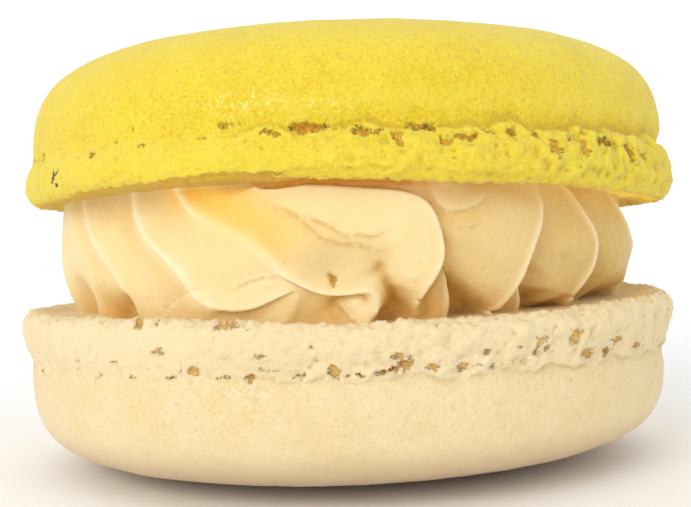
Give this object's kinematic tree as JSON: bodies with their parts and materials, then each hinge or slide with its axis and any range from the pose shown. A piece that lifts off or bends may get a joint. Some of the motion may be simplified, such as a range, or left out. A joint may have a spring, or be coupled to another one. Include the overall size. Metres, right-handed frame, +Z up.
{
  "type": "french macaron",
  "caption": "Filled macaron: yellow almond meringue shell on piped pale buttercream on a plain cream shell, each shell with a crackled foot, lying on its lower dome.",
  "frame": {"origin": "middle of the small flat spot under the lower shell, on which the macaron rests", "axes": "+Z up through both shells, -Y towards the front, where the broad end of the piping shows, +X to the right seen from the front"},
  "size_m": [0.0482, 0.0484, 0.0304],
  "materials": {
    "yellow_shell": "matte baked almond meringue, bright yellow, finely speckled",
    "buttercream": "soft satin piped buttercream, pale cream",
    "cream_shell": "matte baked almond meringue, undyed cream colour, finely speckled"
  },
  "bodies": {
    "root": {"top_shell": "yellow_shell", "filling": "buttercream", "bottom_shell": "cream_shell"}
  },
  "joints": []
}
